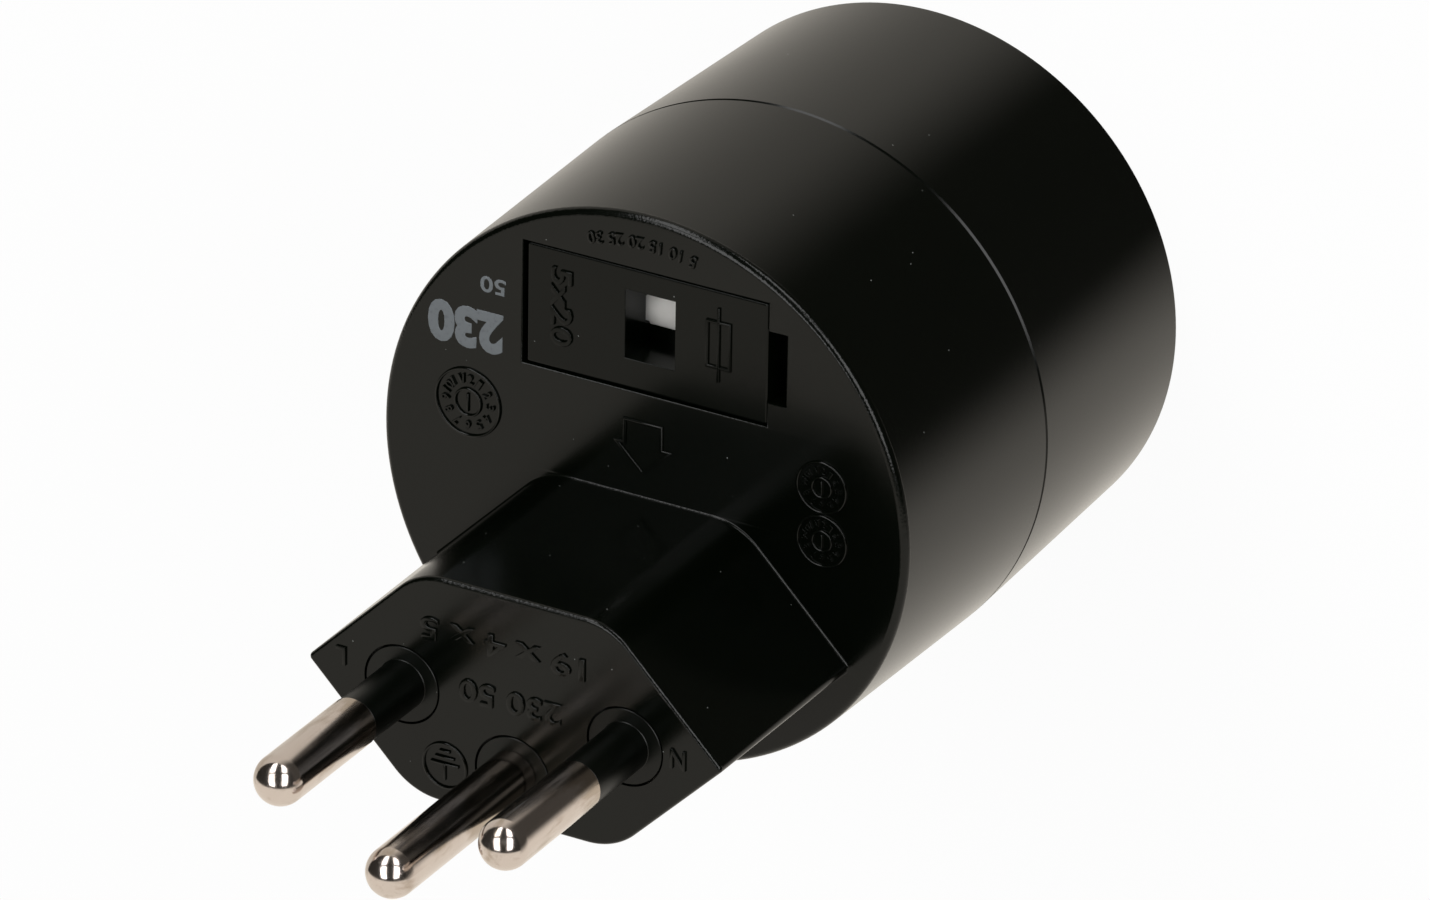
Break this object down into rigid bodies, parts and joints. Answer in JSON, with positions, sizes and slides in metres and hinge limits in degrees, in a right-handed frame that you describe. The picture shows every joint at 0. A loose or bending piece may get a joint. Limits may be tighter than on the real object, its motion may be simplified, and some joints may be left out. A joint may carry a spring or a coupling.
{
  "type": "travel adapter",
  "caption": "Black earthed travel adapter: round two-part housing, deep round socket at the back, flat six-sided plug with round pins, pull-out fuse holder in the front plate.",
  "frame": {"origin": "centre of the socket rim, which the adapter stands on, on the housing's axis", "axes": "+Z along the housing's axis from the socket rim to the pin tips; +X from the line pin to the neutral pin; +Y from the plug towards the fuse holder"},
  "size_m": [0.0456, 0.0456, 0.0816],
  "materials": {
    "black_shell": "satin",
    "black_sleeve": "matte",
    "inner_plastic": "matte",
    "nickel": "polished",
    "brass_strip": "satin",
    "spring_metal": "satin",
    "ceramic_tube": "matte",
    "screw_steel": "zinc plated"
  },
  "bodies": {
    "adapter": {"front_housing": "black_shell", "rear_housing": "black_shell", "contact_carrier": "inner_plastic", "pin_retainer": "inner_plastic", "line_pin": "nickel", "neutral_pin": "nickel", "earth_pin": "nickel", "line_pin_sleeve": "black_sleeve", "neutral_pin_sleeve": "black_sleeve", "earth_pin_bush": "black_sleeve", "line_fuse_clip": "spring_metal", "load_fuse_clip": "spring_metal", "line_contact": "brass_strip", "neutral_contact": "brass_strip", "line_strip": "brass_strip", "load_strip": "brass_strip", "neutral_strip": "brass_strip", "earth_strip": "brass_strip", "earth_bracket": "spring_metal", "housing_screw": "screw_steel"},
    "holder": {"fuse_holder": "black_shell", "fuse_tube": "ceramic_tube", "line_fuse_cap": "nickel", "load_fuse_cap": "nickel"}
  },
  "joints": [
    {"name": "fuse_holder_slide", "type": "slide", "parent": "adapter", "child": "holder", "axis": [0, 0, 1], "range_m": [0, 0.014]}
  ]
}
